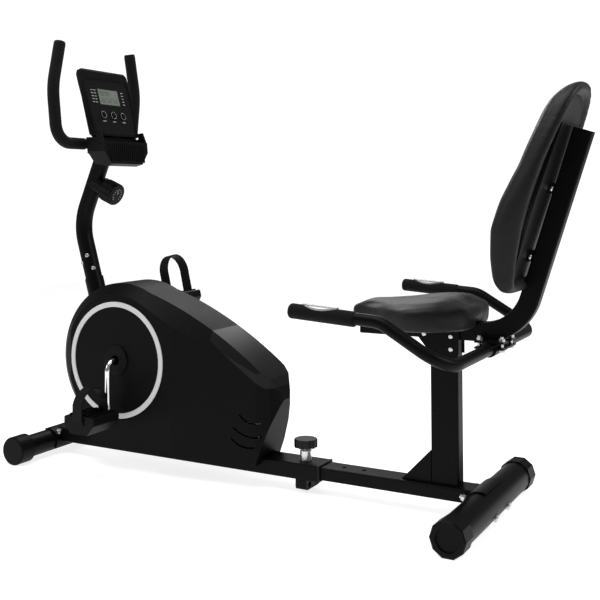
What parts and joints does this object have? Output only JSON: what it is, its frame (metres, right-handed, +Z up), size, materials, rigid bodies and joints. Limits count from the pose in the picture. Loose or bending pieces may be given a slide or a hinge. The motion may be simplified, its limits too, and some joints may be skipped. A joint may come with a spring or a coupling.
{
  "type": "recumbent exercise bike",
  "caption": "Magnetic recumbent exercise bike with a step-through beam, crank housing, small console, padded seat, tall backrest and side grips on a sliding rear frame.",
  "frame": {"origin": "middle of the overall box, on the floor", "axes": "+X from the console end towards the backrest, +Z up, and -Y on the rider's left-hand pedal's side"},
  "size_m": [1.486, 0.6372, 1.1085],
  "materials": {
    "black_frame": "satin powder coat with a fine orange peel",
    "housing_black": "fine moulded grain",
    "gloss_black": "polished moulding",
    "cap_black": "hard moulded plastic, slightly shiny",
    "ring_grey": "satin light grey",
    "bright_steel": "bright plated",
    "zinc_steel": "zinc-plated fasteners and shafts",
    "iron": "machined rim, dark casting",
    "steel_plate": "plain mild steel",
    "belt_rubber": "ribbed belt",
    "strap_rubber": "soft matt rubber",
    "foam_black": "closed-cell foam, very fine pores",
    "seat_vinyl": "soft black vinyl, fine grain",
    "back_vinyl": "black vinyl with a dark mesh centre panel",
    "nylon_natural": "dark nylon",
    "lens_grey": "grey display window",
    "key_black": "round keys with pale rings",
    "sensor_steel": "contact plate"
  },
  "bodies": {
    "front_frame": {"main_beam": "black_frame", "slide_bush": "nylon_natural", "front_stabiliser": "black_frame", "front_caps": "cap_black", "front_fasteners": "zinc_steel", "middle_foot": "cap_black", "pin_boss": "zinc_steel", "pin_spring": "zinc_steel", "stem_post": "black_frame", "bottom_bracket": "black_frame", "bearing_cups": "zinc_steel", "drive_mounts": "steel_plate", "flywheel_axle": "zinc_steel", "belt": "belt_rubber", "housing_left": "housing_black", "housing_right": "housing_black", "tail_cover": "gloss_black", "trim_rings": "ring_grey", "hub_discs": "cap_black", "stem": "black_frame", "bar_clamp": "black_frame", "handlebar": "black_frame", "handlebar_grips": "foam_black", "handlebar_caps": "cap_black", "dial_base": "cap_black", "console_back": "cap_black", "console_face": "gloss_black", "display_lens": "lens_grey", "console_tray": "cap_black"},
    "crankset": {"crank": "bright_steel", "crank_pulley": "nylon_natural", "pedal_spindles": "zinc_steel"},
    "left_pedal": {"pedal_left": "cap_black", "strap_left": "strap_rubber"},
    "right_pedal": {"pedal_right": "cap_black", "strap_right": "strap_rubber"},
    "flywheel_body": {"flywheel": "iron", "flywheel_bearings": "zinc_steel"},
    "idler": {"idler_pulley": "nylon_natural"},
    "magnet_carrier": {"magnet_arm": "steel_plate", "magnets": "iron"},
    "dial": {"tension_dial": "cap_black"},
    "pop_pin": {"pull_pin": "zinc_steel", "pin_head": "gloss_black"},
    "key_left": {"button_left": "key_black"},
    "key_middle": {"button_middle": "key_black"},
    "key_right": {"button_right": "key_black"},
    "rear_frame": {"slide_beam": "black_frame", "rear_stabiliser": "black_frame", "rear_caps": "cap_black", "rear_fasteners": "zinc_steel", "seat_post": "black_frame", "backrest_tube": "black_frame", "seat_cushion": "seat_vinyl", "backrest_board": "gloss_black", "backrest_cushion": "back_vinyl", "seat_handlebar": "black_frame", "seat_handlebar_clamp": "black_frame", "seat_grips": "foam_black", "pulse_sensors": "sensor_steel"}
  },
  "joints": [
    {"name": "rear_slide", "type": "slide", "parent": "front_frame", "child": "rear_frame", "axis": [1, 0, 0], "range_m": [-0.153, 0.102]},
    {"name": "pin_lift", "type": "slide", "parent": "front_frame", "child": "pop_pin", "axis": [0, 0, 1], "range_m": [-0.008, 0.003], "deforming": ["pin_spring"]},
    {"name": "crank_spin", "type": "hinge", "parent": "front_frame", "child": "crankset", "pos_m": [-0.44409, 0, 0.28], "axis": [0, 1, 0], "continuous": true},
    {"name": "left_pedal_spin", "type": "hinge", "parent": "crankset", "child": "left_pedal", "pos_m": [-0.44409, -0.181, 0.15], "axis": [0, 1, 0], "continuous": true},
    {"name": "right_pedal_spin", "type": "hinge", "parent": "crankset", "child": "right_pedal", "pos_m": [-0.44409, 0.181, 0.41], "axis": [0, 1, 0], "continuous": true},
    {"name": "flywheel_spin", "type": "hinge", "parent": "front_frame", "child": "flywheel_body", "pos_m": [-0.16949, 0, 0.19], "axis": [0, 1, 0], "continuous": true},
    {"name": "idler_spin", "type": "hinge", "parent": "front_frame", "child": "idler", "pos_m": [-0.27847, 0.035, 0.14821], "axis": [0, 1, 0], "continuous": true},
    {"name": "dial_turn", "type": "hinge", "parent": "front_frame", "child": "dial", "pos_m": [-0.59288, 0, 0.735], "axis": [0.9221, 0, -0.3871], "range_deg": [0, 270]},
    {"name": "magnet_swing", "type": "hinge", "parent": "front_frame", "child": "magnet_carrier", "pos_m": [-0.09429, 0, 0.1004], "axis": [0, 1, 0], "range_deg": [0, 12]},
    {"name": "key_left_press", "type": "slide", "parent": "front_frame", "child": "key_left", "axis": [-0.9593, 0, -0.2823], "range_m": [0, 0.0015], "stiffness_N_per_m": 400},
    {"name": "key_middle_press", "type": "slide", "parent": "front_frame", "child": "key_middle", "axis": [-0.9593, 0, -0.2823], "range_m": [0, 0.0015], "stiffness_N_per_m": 400},
    {"name": "key_right_press", "type": "slide", "parent": "front_frame", "child": "key_right", "axis": [-0.9593, 0, -0.2823], "range_m": [0, 0.0015], "stiffness_N_per_m": 400}
  ],
  "couplings": [
    {"joint": "flywheel_spin", "follows": "crank_spin", "ratio": 5.2273},
    {"joint": "idler_spin", "follows": "crank_spin", "ratio": -7.6667},
    {"joint": "magnet_swing", "follows": "dial_turn", "ratio": 0.044444}
  ]
}
